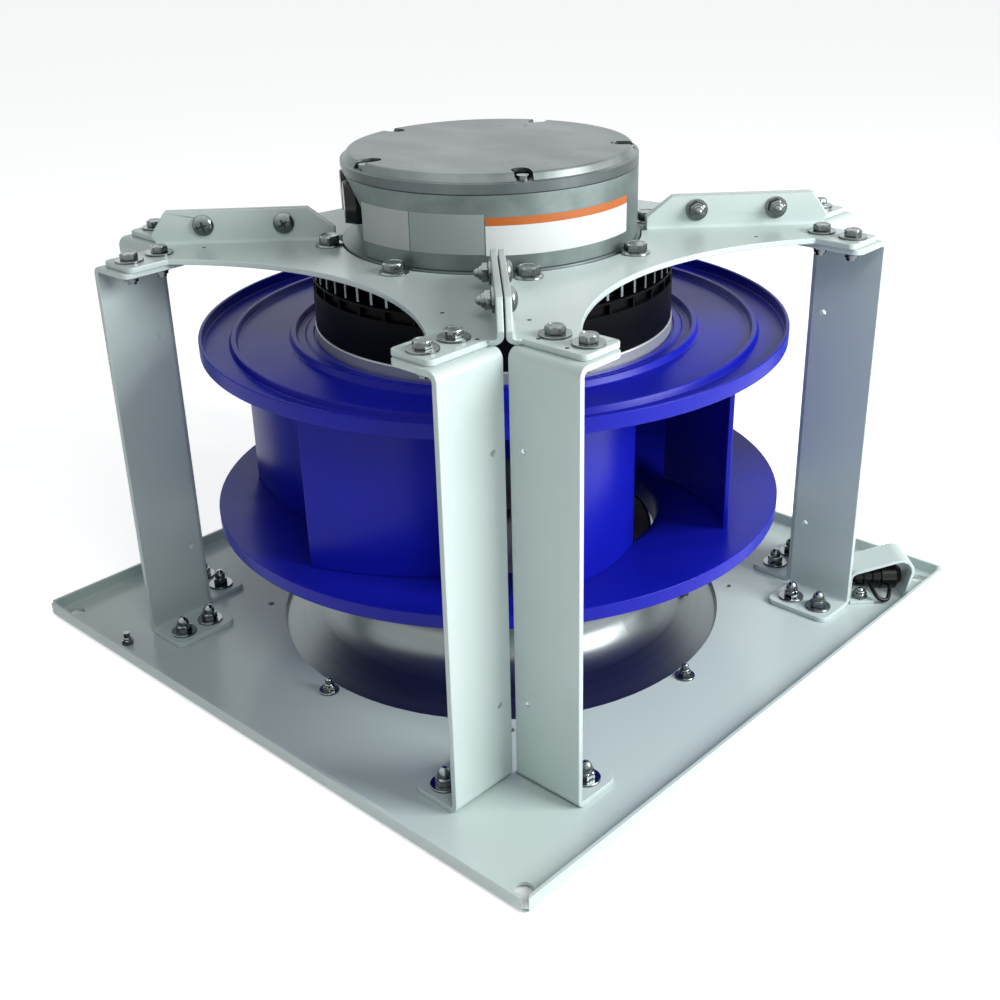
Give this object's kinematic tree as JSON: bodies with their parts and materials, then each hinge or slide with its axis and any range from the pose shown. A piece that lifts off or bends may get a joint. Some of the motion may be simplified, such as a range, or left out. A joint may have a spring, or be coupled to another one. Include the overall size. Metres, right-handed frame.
{
  "type": "centrifugal plug fan",
  "caption": "Backward-curved plug fan on a square inlet tray: bent sheet posts and folded arms hold an external-rotor motor above a round inlet nozzle",
  "frame": {"origin": "centre of the inlet, on the underside of the nozzle flange, the lowest plane of the fan", "axes": "+Z along the impeller's axis, from the inlet towards the motor; +X and +Y along two edges of the square tray, so that the front corner in the picture is at +X, -Y"},
  "size_m": [0.636, 0.636, 0.4514],
  "materials": {
    "painted_sheet": "smooth light grey powder coat",
    "spun_metal": "bright spun sheet with fine turning marks",
    "zinc_fastener": "bright zinc plate",
    "cast_aluminium": "satin die casting",
    "machined_aluminium": "bright machined",
    "black_rotor": "satin black paint",
    "blue_plastic": "moulded, slightly satin",
    "black_plastic": "moulded",
    "black_rubber": "smooth hose",
    "steel_inner": "plain machined steel",
    "copper_coil": "lacquered copper wire",
    "board_green": "circuit board"
  },
  "bodies": {
    "frame": {"arm_1": "painted_sheet", "arm_2": "painted_sheet", "arm_3": "painted_sheet", "arm_4": "painted_sheet", "base_nuts": "zinc_fastener", "base_plate": "painted_sheet", "base_studs": "zinc_fastener", "base_washers": "zinc_fastener", "bearing_lower": "steel_inner", "bearing_upper": "steel_inner", "bracket_nut": "zinc_fastener", "circuit_board": "board_green", "corner_bracket": "painted_sheet", "earth_nut": "zinc_fastener", "earth_stud": "zinc_fastener", "electronics_housing": "cast_aluminium", "fin_nuts": "zinc_fastener", "fin_screws": "zinc_fastener", "gland_bodies": "black_plastic", "gland_nuts": "black_plastic", "hose_fitting": "black_plastic", "hose_loop": "black_rubber", "inlet_nozzle": "spun_metal", "lid": "cast_aluminium", "lid_screws": "zinc_fastener", "motor_bolts": "zinc_fastener", "motor_washers": "zinc_fastener", "nozzle_nuts": "zinc_fastener", "nozzle_studs": "zinc_fastener", "nozzle_washers": "zinc_fastener", "post_1": "painted_sheet", "post_2": "painted_sheet", "post_3": "painted_sheet", "post_4": "painted_sheet", "post_5": "painted_sheet", "post_6": "painted_sheet", "post_7": "painted_sheet", "post_8": "painted_sheet", "pressure_tap": "zinc_fastener", "stator_core": "steel_inner", "stator_flange": "cast_aluminium", "top_bolts": "zinc_fastener", "top_nuts": "zinc_fastener", "top_washers": "zinc_fastener", "windings": "copper_coil"},
    "rotor": {"rotor_cup": "black_rotor", "rotor_ring": "machined_aluminium", "magnet_ring": "steel_inner", "shaft": "steel_inner", "impeller_back_disc": "blue_plastic", "impeller_shroud": "blue_plastic", "impeller_screws": "zinc_fastener", "blade_1": "blue_plastic", "blade_2": "blue_plastic", "blade_3": "blue_plastic", "blade_4": "blue_plastic", "blade_5": "blue_plastic", "blade_6": "blue_plastic", "blade_7": "blue_plastic"}
  },
  "joints": [
    {"name": "impeller_spin", "type": "hinge", "parent": "frame", "child": "rotor", "pos_m": [0, 0, 0.3], "axis": [0, 0, 1], "continuous": true}
  ]
}
